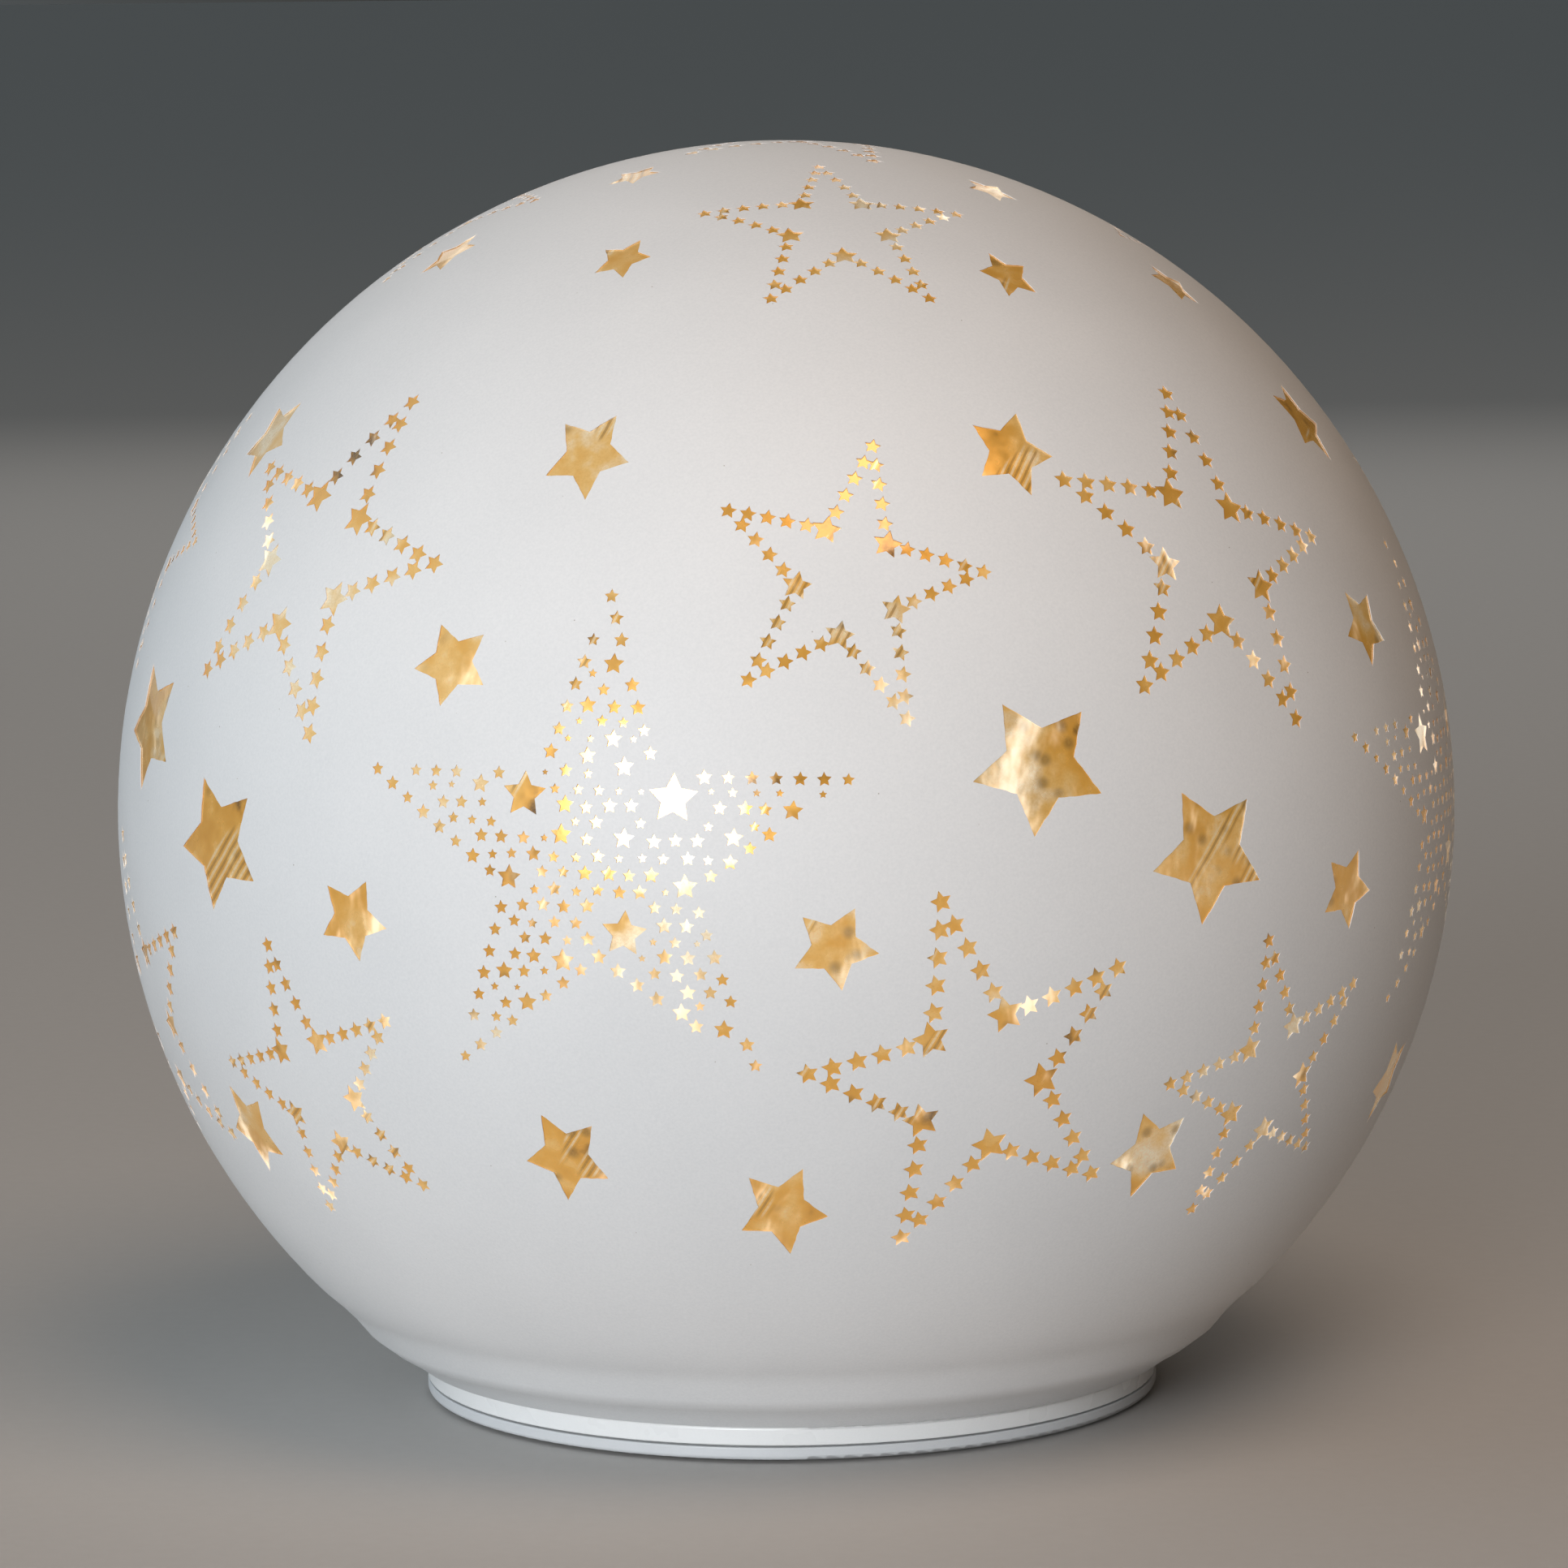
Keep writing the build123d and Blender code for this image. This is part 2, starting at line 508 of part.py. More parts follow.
with BuildPart() as switch_slider:
    box_between((-HEAD_LENGTH / 2, SWITCH_Y - HEAD_WIDTH / 2, HEAD_LOW),
                (HEAD_LENGTH / 2, SWITCH_Y + HEAD_WIDTH / 2, HEAD_TOP))
    box_between((-KNOB_LENGTH / 2, SWITCH_Y - KNOB_WIDTH / 2, KNOB_BOTTOM),
                (KNOB_LENGTH / 2, SWITCH_Y + KNOB_WIDTH / 2, HEAD_LOW))
    # two grip notches across the knob
    for side in (-1, 1):
        box_between((side * 0.6 - 0.2, SWITCH_Y - KNOB_WIDTH / 2, KNOB_BOTTOM),
                    (side * 0.6 + 0.2, SWITCH_Y + KNOB_WIDTH / 2, KNOB_BOTTOM + 0.3), Mode.SUBTRACT)
save(switch_slider, "switch_slider")

with BuildPart() as switch_pins:
    for pin_x in PIN_X:
        box_between((pin_x - 0.4, SWITCH_Y - 0.15, SWITCH_BODY_TOP),
                    (pin_x + 0.4, SWITCH_Y + 0.15, SWITCH_BODY_TOP + PIN_LENGTH))
save(switch_pins, "switch_pins")
switch_screws = screws(switch_screw_points, SWITCH_FLANGE_Z + SWITCH_FLANGE_T + HEAD_HEIGHT,
                       HEAD_HEIGHT, 1.5, SWITCH_PILOT_R, 2.6, -1)
save(switch_screws, "switch_screws")

# ---- light post and fairy-light string --------------------------------------------------------------
post_foot = ROOF_TOP
with BuildPart() as led_post:
    with BuildSketch(Plane.XY.offset(post_foot)):
        Circle(POST_FLANGE_R)
    extrude(amount=POST_FLANGE_T)
    with BuildSketch(Plane.XY.offset(post_foot)):
        Circle(POST_R)
    extrude(amount=POST_TOP - post_foot)
    fillet(led_post.edges().group_by(Axis.Z)[-1], 1.5)
    with BuildSketch(Plane.XY.offset(post_foot)):
        Circle(POST_BORE_R)
    extrude(amount=POST_TOP - post_foot - 3, mode=Mode.SUBTRACT)
    with BuildSketch(Plane.XY.offset(post_foot)):
        with Locations(*post_screw_points):
            Circle(1.2)
    extrude(amount=POST_FLANGE_T, mode=Mode.SUBTRACT)
    # side hole where the wire comes out
    with BuildSketch(Plane.YZ):
        with Locations((0, WIRE_START)):
            Circle(WIRE_R + 0.15)
    extrude(amount=POST_R + 1, mode=Mode.SUBTRACT)
save(led_post, "led_post")

post_screws = screws(post_screw_points, post_foot + POST_FLANGE_T + HEAD_HEIGHT, HEAD_HEIGHT,
                     2.0, POST_PILOT_R, 3.6, -1)
save(post_screws, "post_screws")

wire_height = WIRE_PITCH * WIRE_TURNS
with BuildPart() as led_wire:
    with BuildLine() as winding:
        Helix(pitch=WIRE_PITCH, height=wire_height, radius=WIRE_COIL_R, center=(0, 0, WIRE_START))
    with BuildSketch(Plane(origin=winding.line @ 0, z_dir=winding.line % 0)):
        RegularPolygon(WIRE_R, side_count=12)
    sweep(path=winding.line, is_frenet=True)
    stub_start = POST_BORE_R - 0.6
    with BuildSketch(Plane.YZ.offset(stub_start)):
        with Locations((0, WIRE_START)):
            Circle(WIRE_R)
    extrude(amount=WIRE_COIL_R - stub_start)
    # solder blob where the winding starts
    with Locations((WIRE_COIL_R + 0.3, 0, WIRE_START)):
        Sphere(0.7)
save(led_wire, "led_wire")

# clear droplets over the light chips, spaced evenly along the winding
bead_spots = []
for count in range(1, WIRE_TURNS * BEADS_PER_TURN):
    angle = 360 * count / BEADS_PER_TURN
    bead_spots.append((*on_circle(POST_R + BEAD_R + 0.1, angle), WIRE_START + WIRE_PITCH * angle / 360))
with BuildPart() as led_beads:
    with Locations(*bead_spots):
        Sphere(BEAD_R)
save(led_beads, "led_beads")

# ---- leads ---------------------------------------------------------------------------------------
with BuildPart() as lead_grommet:
    add(revolved_outline((0.8, ROOF_LOW - 1.0), (4.4, ROOF_LOW - 1.0), (4.4, ROOF_LOW),
                         (GROMMET_R, ROOF_LOW), (GROMMET_R, ROOF_TOP), (0.8, ROOF_TOP)))
    revolve(axis=Axis.Z)
save(lead_grommet, "lead_grommet")

with BuildPart() as led_lead:
    with BuildSketch(Plane.XY.offset(BOARD_TOP)):
        Circle(LEAD_R)
    extrude(amount=WIRE_START - 1.5 - BOARD_TOP)
save(led_lead, "led_lead")


def lead(points, bend):
    """A round insulated lead along straight runs with rounded bends."""
    with BuildPart() as tube:
        with BuildLine() as route:
            FilletPolyline(*points, radius=bend)
        with BuildSketch(Plane(origin=route.line @ 0, z_dir=route.line % 0)):
            Circle(LEAD_R)
        sweep(path=route.line)
    return tube


board_edge = BOARD_SIZE[0] / 2 - 2
tab_x = CONTACT_X + CONTACT_T / 2
lead_height = TAB_TOP + 3.4
battery_leads = {
    "lead_positive": [(tab_x, BATTERY_PITCH, TAB_TOP), (tab_x, BATTERY_PITCH, lead_height),
                      (board_edge, 4, lead_height), (board_edge, 4, BOARD_TOP)],
    "lead_negative": [(-tab_x, -BATTERY_PITCH, TAB_TOP), (-tab_x, -BATTERY_PITCH, lead_height),
                      (-board_edge, -10, lead_height), (-board_edge, -10, BOARD_TOP)]}
for name, points in battery_leads.items():
    save(lead(points, 1.2), name)
for number, pin_x in enumerate(PIN_X[:2], start=1):
    points = [(pin_x, SWITCH_Y, SWITCH_BODY_TOP + PIN_LENGTH), (pin_x, SWITCH_Y, lead_height),
              (1.6 * pin_x, 5, lead_height), (1.6 * pin_x, 5, BOARD_TOP)]
    save(lead(points, 1.2), f"switch_lead_{number}")

# ---- pads and cover screws ---------------------------------------------------------------------------
for number, (x, y) in enumerate(pad_points, start=1):
    with BuildPart() as foot_pad:
        with BuildSketch(Plane.XY.offset(PAD_BOTTOM)):
            with Locations((x, y)):
                Circle(PAD_R - 0.1)
        extrude(amount=COVER_BOTTOM + PAD_RECESS)
        fillet(foot_pad.edges().group_by(Axis.Z)[0], 0.2)
    save(foot_pad, f"foot_pad_{number}")

cover_screws = screws(boss_points, COVER_BOTTOM, PAD_RECESS, HEAD_R, SHANK_R, 10, 1)
save(cover_screws, "cover_screws")
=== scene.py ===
import math
import random

import bpy
from mathutils import Matrix, Vector
from mathutils.geometry import delaunay_2d_cdt


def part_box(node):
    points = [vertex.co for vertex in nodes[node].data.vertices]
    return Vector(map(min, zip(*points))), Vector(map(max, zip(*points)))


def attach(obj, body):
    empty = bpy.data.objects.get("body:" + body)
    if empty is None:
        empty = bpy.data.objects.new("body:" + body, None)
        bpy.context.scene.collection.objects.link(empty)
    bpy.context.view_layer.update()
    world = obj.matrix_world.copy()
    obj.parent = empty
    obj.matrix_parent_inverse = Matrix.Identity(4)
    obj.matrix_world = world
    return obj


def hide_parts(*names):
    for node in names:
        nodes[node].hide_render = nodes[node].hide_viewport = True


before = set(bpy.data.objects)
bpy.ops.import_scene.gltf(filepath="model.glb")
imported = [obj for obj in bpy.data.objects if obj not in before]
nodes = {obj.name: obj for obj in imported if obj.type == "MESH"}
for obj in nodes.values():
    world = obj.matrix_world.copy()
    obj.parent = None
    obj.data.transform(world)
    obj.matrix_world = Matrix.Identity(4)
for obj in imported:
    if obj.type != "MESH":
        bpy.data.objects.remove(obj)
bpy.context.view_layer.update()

# Star globe light: a glass sphere with a satin white coat, star windows that show mirror gold,
# and a thin two-layer base. Metres, +Z up, front towards -Y. Longitude is 0 at the front and
# grows towards +X; the star pattern's angles are degrees at the globe's centre.

# ---- sizes: the globe's from the parts, the coat's and the tuck's given -------------------
def reach(point):
    """Distance from the globe's axis."""
    return math.hypot(point.x, point.y)


NEAR = 0.001                  # points this close to a level or a wall count as on it
glass_low, glass_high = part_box("glass_globe")
GLOBE_R = (glass_high.x - glass_low.x) / 2
CENTRE_Z = glass_high.z - GLOBE_R
GLOBE_CENTRE = Vector((0, 0, CENTRE_Z))
glass_points = [vertex.co for vertex in nodes["glass_globe"].data.vertices]
NECK_R = max(reach(p) for p in glass_points if p.z < glass_low.z + NEAR)
RIM_Z = min(p.z for p in glass_points if reach(p) > NECK_R + NEAR)
_, lining_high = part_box("gold_lining")
GLASS_WALL = glass_high.z - lining_high.z

RIM_ROUND = 0.0012            # rounding where the sphere tucks in above the base
NECK_END = RIM_Z - 0.0014     # the coat ends inside the base's groove
COAT = 0.00012                # thickness of the white coat
COAT_GAP = 0.00003            # between the coat and the glass under it

# ---- the star pattern ---------------------------------------------------------------------
REPEATS = 4                   # the pattern comes round four times
PENTAGRAM = 0.382             # inner over outer radius of the big filled star
CLUSTER = 0.385               # the same for the stars drawn by a line of small ones
CLUSTER_WIDTH = 0.895         # those stars are a little narrower than tall
SOLID = 0.525                 # inner over outer radius of the plain stars
SMALL = 0.5                   # the same for every small star
EDGE_STEP = 0.5               # degrees between points along the edge of a plain star
EDGE_WANDER = 0.035           # how far those points wander, in degrees

# plain stars: longitude, latitude, radius, turn of one tip from north towards east, width
PLAIN_STARS = [
    (23.2, 36.3, 4.1, 25, 0.87), (-19.6, 36.6, 4.2, 26, 0.86), (-28.9, 18.4, 3.5, -27, 1.0),
    (36.1, 2.1, 5.75, -27, 1.02), (20.7, 10.2, 5.65, -28, 1.02), (-37.3, -2.5, 3.5, 27, 1.02),
    (33.2, -23.0, 4.3, -26, 0.87), (-19.4, -21.6, 4.2, -27, 0.86), (-0.7, -26.3, 4.5, 27, 0.82),
    (3.7, -3.5, 3.5, 27, 1.01),
]
# stars drawn by a line of small ones: longitude, latitude, radius, turn
LINE_STARS = [
    (-48.1, 26.2, 15.3, 13.7), (5.7, 25.6, 12.1, 14.1),
    (15.7, -15.0, 15.4, -15.2), (-44.5, -17.8, 12.6, -14.8),
]
LINE_STAR_STEPS = 4           # small stars between two corners of such a star
LINE_STAR_SIZES = (0.06, 0.104)     # small and large ones, as shares of its radius
# the big star that is filled with small ones: longitude, latitude, radius
FILLED_STAR = (-15.0, 3.6, 20.7)
# its larger fillings, as x, y and radius on its own flat map; the rest are placed by rule
FILLED_LARGE = [(-6.15, 4.75, 1.9), (6.0, 4.7, 2.05), (2.1, -6.0, 1.9)]
FILLED_MEDIUM = [
    (-7.4, -1.8, 1.05), (7.0, -2.2, 1.05), (-3.0, -8.3, 1.0), (2.1, 1.5, 0.9), (-3.0, 1.7, 0.9),
    (0.7, 15.2, 0.9), (2.0, 7.1, 0.85), (-6.2, -11.8, 0.85), (6.5, -12.3, 0.8), (9.8, -13.7, 0.85),
    (15.4, 3.9, 0.85), (-10.0, 5.5, 0.8), (10.8, 1.7, 0.8), (-1.0, 7.9, 0.75), (-1.2, 11.9, 0.75),
]
FILLED_EDGE_STEPS = 8         # small stars along each edge
FILLED_EDGE_SIZES = (0.54, 0.68)
FILLED_ROW_SIZES = (0.54, 0.7)
FILLED_ROW_LARGE = (0.1, 0.78)      # the share of larger ones in the rows, and their size
FILLED_ROW_STEP, FILLED_COLUMN_STEP = 1.32, 1.78
FILLED_WANDER = (0.14, 0.12)
# a small star shrinks in steps to fit between its neighbours: share of its size, gap to keep
FILLED_FITS = ((1.0, 0.26), (0.75, 0.2), (0.5, 0.15))
# the cap's pattern goes round an axis that leans a little
CAP_AXIS = Vector((0.052, 0.068, 1.0)).normalized()
CAP_LINE_STAR = (4.1, 60.0, 12.35, -4.3)
CAP_PLAIN_STARS = [
    (28.2, 53.6, 3.2, -10, 0.78), (-26.7, 53.6, 2.9, 8, 0.84), (45, 68.5, 2.6, -8, 0.85),
]
POLE_STAR = (0.0, 90.0, 15.0, 14)


def on_sphere(longitude, latitude):
    """The direction from the globe's centre to a place on it."""
    east, north = math.radians(longitude), math.radians(latitude)
    return Vector((math.cos(north) * math.sin(east), -math.cos(north) * math.cos(east),
                   math.sin(north)))


class Place:
    """A spot on the globe with its own flat map, x towards east and y towards north, in degrees."""

    def __init__(self, longitude, latitude):
        east, north = math.radians(longitude), math.radians(latitude)
        self.out = on_sphere(longitude, latitude)
        self.east = Vector((math.cos(east), math.sin(east), 0))
        self.north = Vector((-math.sin(north) * math.sin(east), math.sin(north) * math.cos(east),
                             math.cos(north)))

    def at(self, x, y):
        distance = math.hypot(x, y)
        if distance < 1e-9:
            return self.out.copy()
        way = (self.east * x + self.north * y) / distance
        angle = math.radians(distance)
        return self.out * math.cos(angle) + way * math.sin(angle)


def star_corners(x, y, radius, turn, inner):
    """Ten corners of a star on a flat map, tips first, clockwise from north."""
    corners = []
    for count in range(10):
        angle = math.radians(turn + 36 * count)
        out = radius if count % 2 == 0 else radius * inner
        corners.append((x + out * math.sin(angle), y + out * math.cos(angle)))
    return corners


def along(start, end, share):
    return tuple(a + (b - a) * share for a, b in zip(start, end))


def small_star(x, y, radius, turn):
    return star_corners(x, y, radius, turn, SMALL)


def plain_star(radius, turn, width, rng):
    """One plain star, its long edges slightly ragged."""
    corners = [(x * width, y) for x, y in star_corners(0, 0, radius, turn, SOLID)]
    points = []
    for start, end in zip(corners, corners[1:] + corners[:1]):
        steps = max(1, round(math.dist(start, end) / EDGE_STEP))
        points.append(start)
        for count in range(1, steps):
            x, y = along(start, end, count / steps)
            points.append((x + rng.uniform(-EDGE_WANDER, EDGE_WANDER),
                           y + rng.uniform(-EDGE_WANDER, EDGE_WANDER)))
    return [points]


def line_star(radius, turn):
    """Small stars along the edges of a big one, with larger ones at its inner corners."""
    small, large = (share * radius for share in LINE_STAR_SIZES)
    corners = star_corners(0, 0, radius, turn, CLUSTER)
    stars = []
    for count, (start, end) in enumerate(zip(corners, corners[1:] + corners[:1])):
        stars.append((*start, small if count % 2 == 0 else large))
        for step in range(1, LINE_STAR_STEPS + 1):
            stars.append((*along(start, end, step / (LINE_STAR_STEPS + 1)), small))
    return [small_star(x * CLUSTER_WIDTH, y, size, turn) for x, y, size in stars]


def inside(point, outline):
    """True if a point on a flat map is inside a closed outline."""
    x, y = point
    found = False
    for (x1, y1), (x2, y2) in zip(outline, outline[1:] + outline[:1]):
        if (y1 > y) != (y2 > y) and x < x1 + (x2 - x1) * (y - y1) / (y2 - y1):
            found = not found
    return found


def filled_star(radius, rng):
    """A big star packed with upright small stars: its edges first, then staggered rows."""
    outline = star_corners(0, 0, radius, 0, PENTAGRAM)
    stars = FILLED_LARGE + FILLED_MEDIUM

    def room(x, y, size, gap):
        return all(math.dist((x, y), star[:2]) > size + star[2] + gap for star in stars)

    for start, end in zip(outline, outline[1:] + outline[:1]):
        for step in range(FILLED_EDGE_STEPS):
            x, y = along(start, end, step / FILLED_EDGE_STEPS)
            size = rng.uniform(*FILLED_EDGE_SIZES)
            if room(x, y, size, 0.0):
                stars.append((x, y, size))
    rows = int(radius / FILLED_ROW_STEP) + 1
    columns = int(radius / FILLED_COLUMN_STEP) + 1
    wander_x, wander_y = FILLED_WANDER
    large_share, large_size = FILLED_ROW_LARGE
    for row in range(-rows, rows + 1):
        for column in range(-columns, columns + 1):
            x = (column + (row % 2) / 2) * FILLED_COLUMN_STEP + rng.uniform(-wander_x, wander_x)
            y = row * FILLED_ROW_STEP + rng.uniform(-wander_y, wander_y)
            if not inside((x, y), outline):
                continue
            size = large_size if rng.random() < large_share else rng.uniform(*FILLED_ROW_SIZES)
            for smaller, gap in FILLED_FITS:
                if room(x, y, size * smaller, gap):
                    stars.append((x, y, size * smaller))
                    break
    return [small_star(x, y, size, rng.uniform(-5, 5)) for x, y, size in stars]


def set_down(place, outlines):
    """Outlines on a place's flat map, as directions from the globe's centre."""
    return [[place.at(x, y) for x, y in outline] for outline in outlines]


def plain_stars(stars, quarter, rng):
    """The windows of some plain stars, in one quarter of the globe."""
    windows = []
    for longitude, latitude, radius, turn, width in stars:
        place = Place(longitude + quarter, latitude)
        windows += set_down(place, plain_star(radius, turn, width, rng))
    return windows


def line_stars(stars, quarter):
    """The windows of some stars drawn by a line of small ones, in one quarter of the globe."""
    windows = []
    for longitude, latitude, radius, turn in stars:
        windows += set_down(Place(longitude + quarter, latitude), line_star(radius, turn))
    return windows


def pattern():
    """Every window's outline as directions from the globe's centre."""
    rng = random.Random(11)
    quarters = [360 / REPEATS * count for count in range(REPEATS)]
    windows, cap = [], []
    for quarter in quarters:
        windows += plain_stars(PLAIN_STARS, quarter, rng)
        windows += line_stars(LINE_STARS, quarter)
        longitude, latitude, radius = FILLED_STAR
        place = Place(longitude + quarter, latitude)
        windows += set_down(place, filled_star(radius, random.Random(5)))
    for quarter in quarters:
        cap += plain_stars(CAP_PLAIN_STARS, quarter, rng)
        cap += line_stars([CAP_LINE_STAR], quarter)
    cap += line_stars([POLE_STAR], 0)
    lean = Vector((0, 0, 1)).rotation_difference(CAP_AXIS)
    return windows + [[lean @ point for point in star] for star in cap]


# ---- the globe's surface ------------------------------------------------------------------
TUCK_DROP = RIM_Z + RIM_ROUND - CENTRE_Z
TUCK_REACH = math.sqrt((GLOBE_R - RIM_ROUND) ** 2 - TUCK_DROP ** 2)
TUCK_LATITUDE = math.degrees(math.atan2(TUCK_DROP, TUCK_REACH))
MESH_LATITUDE = -52.0         # the window mesh ends here, and rings carry on
RING_POINTS = 240
TUCK_STEPS = 5
# the blown glass is faintly wavy above its neck: height, latitude and width in degrees
SWELL = (0.0006, -50.7, 1.7)
DIP = (0.0003, -46.6, 1.8)


def latitude_of(direction):
    return math.degrees(math.asin(max(-1.0, min(1.0, direction.z))))


def wave(latitude, height, middle, width):
    return height * math.exp(-((latitude - middle) / width) ** 2)


def surface_radius(latitude):
    """The sphere's radius, with the faint swell and dip above its neck."""
    return GLOBE_R + wave(latitude, *SWELL) - wave(latitude, *DIP)


def surface_normal(direction):
    """The surface's normal, which leans a little where the swell rises."""
    latitude = latitude_of(direction)
    step = 0.05
    rise = surface_radius(latitude + step) - surface_radius(latitude - step)
    slope = rise / (2 * math.radians(step)) / surface_radius(latitude)
    flat = Vector((direction.x, direction.y, 0))
    if flat.length < 1e-9:
        return direction.copy()
    flat.normalize()
    tilt = math.radians(latitude)
    north = Vector((0, 0, 1)) * math.cos(tilt) - flat * math.sin(tilt)
    return (direction - north * slope).normalized()


def tuck_outline(inset, start):
    """(reach, height) down from a latitude, round the tuck, under the rim and down the neck."""
    outline = []
    for count in range(TUCK_STEPS):
        latitude = start + (TUCK_LATITUDE - start) * count / TUCK_STEPS
        out = surface_radius(latitude) - inset
        outline.append((out * math.cos(math.radians(latitude)),
                        CENTRE_Z + out * math.sin(math.radians(latitude))))
    for count in range(TUCK_STEPS + 1):
        angle = math.radians(TUCK_LATITUDE + (-90 - TUCK_LATITUDE) * count / TUCK_STEPS)
        outline.append((TUCK_REACH + (RIM_ROUND - inset) * math.cos(angle),
                        CENTRE_Z + TUCK_DROP + (RIM_ROUND - inset) * math.sin(angle)))
    outline.append((NECK_R - inset, RIM_Z + inset))
    outline.append((NECK_R - inset, NECK_END))
    return outline


def new_piece(name, points, faces, sharp=30):
    """A mesh object with smooth faces and sharp edges above an angle."""
    mesh = bpy.data.meshes.new(name)
    mesh.from_pydata([tuple(p) for p in points], [], faces)
    mesh.polygons.foreach_set("use_smooth", [True] * len(mesh.polygons))
    mesh.set_sharp_from_angle(angle=math.radians(sharp))
    mesh.update()
    piece = bpy.data.objects.new(name, mesh)
    bpy.context.scene.collection.objects.link(piece)
    return piece


def window_mesh(windows):
    """Directions and triangles of the coat, with the windows left out, above MESH_LATITUDE.

    The triangles come from a flat map of the sphere, drawn from the point under the neck."""
    directions = [on_sphere(360 * count / RING_POINTS, MESH_LATITUDE)
                  for count in range(RING_POINTS)]
    outlines = []
    for window in windows:
        outlines.append(list(range(len(directions), len(directions) + len(window))))
        directions += reversed(window)      # anticlockwise on the map
    spacing = 2.2                           # degrees between the points among the windows
    latitude = MESH_LATITUDE + spacing
    while latitude < 90:
        around = max(1, round(360 * math.cos(math.radians(latitude)) / spacing))
        for count in range(around):
            directions.append(on_sphere(360 * (count + latitude / 5) / around, latitude))
        latitude += spacing * 0.9
    flat = [Vector((d.x / (1 + d.z), d.y / (1 + d.z))) for d in directions]
    points, _, faces, _, _, sources = delaunay_2d_cdt(flat, [], outlines, 0, 1e-7)
    found = []
    for point in points:
        square = point.length_squared
        found.append(Vector((2 * point.x, 2 * point.y, 1 - square)) / (1 + square))
    coat_faces = [face for face, source in zip(faces, sources) if not source]
    used = sorted({index for face in coat_faces for index in face})
    place = {old: new for new, old in enumerate(used)}
    return [found[index] for index in used], [[place[i] for i in face] for face in coat_faces]


def globe_coat(windows):
    """The white coat: a thin closed shell with real windows, down round the tuck to the neck."""
    directions, faces = window_mesh(windows)
    count = len(directions)
    radii = [surface_radius(latitude_of(d)) for d in directions]
    outer = [GLOBE_CENTRE + d * r for d, r in zip(directions, radii)]
    inner = [GLOBE_CENTRE + d * (r - COAT) for d, r in zip(directions, radii)]
    points = outer + inner
    normals = [surface_normal(d) for d in directions]
    shell = [tuple(face) for face in faces]
    shell += [tuple(i + count for i in reversed(face)) for face in faces]
    edges = dict.fromkeys(edge for face in faces for edge in zip(face, face[1:] + face[:1]))
    border = [(a, b) for a, b in edges if (b, a) not in edges]
    lowest = math.sin(math.radians(MESH_LATITUDE)) + 1e-4
    rim = {}
    for a, b in border:
        if directions[a].z < lowest and directions[b].z < lowest:
            rim[a] = b
        else:
            shell.append((b, a, a + count, b + count))
    # rings below the window mesh, from its own lowest ring
    order = [next(iter(rim))]
    while rim[order[-1]] != order[0]:
        order.append(rim[order[-1]])
    upper, lower = order, [i + count for i in order]
    outline_out = tuck_outline(0, MESH_LATITUDE)[1:]
    outline_in = tuck_outline(COAT, MESH_LATITUDE)[1:]
    for (r_out, z_out), (r_in, z_in) in zip(outline_out, outline_in):
        next_upper, next_lower = [], []
        for index in order:
            way = Vector((directions[index].x, directions[index].y, 0)).normalized()
            next_upper.append(len(points))
            points.append(way * r_out + Vector((0, 0, z_out)))
            next_lower.append(len(points))
            points.append(way * r_in + Vector((0, 0, z_in)))
        for i in range(len(order)):
            j = (i + 1) % len(order)
            shell.append((upper[j], upper[i], next_upper[i], next_upper[j]))
            shell.append((lower[i], lower[j], next_lower[j], next_lower[i]))
        upper, lower = next_upper, next_lower
    for i in range(len(order)):
        j = (i + 1) % len(order)
        shell.append((upper[j], upper[i], lower[i], lower[j]))
    piece = new_piece("globe_coat", points, shell)
    # the skins follow the sphere's own normals, so that thin triangles don't show
    corner_normals = []
    for number, face in enumerate(shell):
        for index in face:
            if number < len(faces):
                corner_normals.append(tuple(normals[index]))
            elif number < 2 * len(faces):
                corner_normals.append(tuple(-normals[index - count]))
            else:
                corner_normals.append((0.0, 0.0, 0.0))
    piece.data.normals_split_custom_set(corner_normals)
    return piece


def lathe(name, outline, around):
    """A closed solid of revolution. Points on the axis close it with a fan."""
    points, rings, faces = [], [], []
    for out, height in outline:
        if out < 1e-7:
            rings.append([len(points)] * around)
            points.append((0, 0, height))
        else:
            rings.append(list(range(len(points), len(points) + around)))
            for count in range(around):
                angle = 2 * math.pi * count / around
                points.append((out * math.sin(angle), -out * math.cos(angle), height))
    for ring, following in zip(rings, rings[1:] + rings[:1]):
        for i in range(around):
            j = (i + 1) % around
            corners = [ring[j], ring[i], following[i], following[j]]
            face = tuple(dict.fromkeys(corners))
            if len(face) > 2:
                faces.append(face)
    return new_piece(name, points, faces)


def globe_glass():
    """The glass body, whose outside carries the coat and whose inside carries the gold."""
    inset = COAT + COAT_GAP
    step, inner_steps, around = 2.0, 72, 180
    outline = []
    latitude = 90.0
    while latitude > MESH_LATITUDE:
        out = surface_radius(latitude) - inset
        reach_here = 0.0 if latitude == 90.0 else out * math.cos(math.radians(latitude))
        outline.append((reach_here, CENTRE_Z + out * math.sin(math.radians(latitude))))
        latitude -= step
    outline += tuck_outline(inset, MESH_LATITUDE)
    outline[-1] = (NECK_R - inset, glass_low.z)
    inner_r = GLOBE_R - GLASS_WALL
    neck_in = NECK_R - GLASS_WALL
    outline.append((neck_in, glass_low.z))
    join = -math.degrees(math.acos(neck_in / inner_r))
    for count in range(inner_steps + 1):
        latitude = join + (90 - join) * count / inner_steps
        reach_here = 0.0 if count == inner_steps else inner_r * math.cos(math.radians(latitude))
        outline.append((reach_here, CENTRE_Z + inner_r * math.sin(math.radians(latitude))))
    return lathe("globe_glass", outline, around)


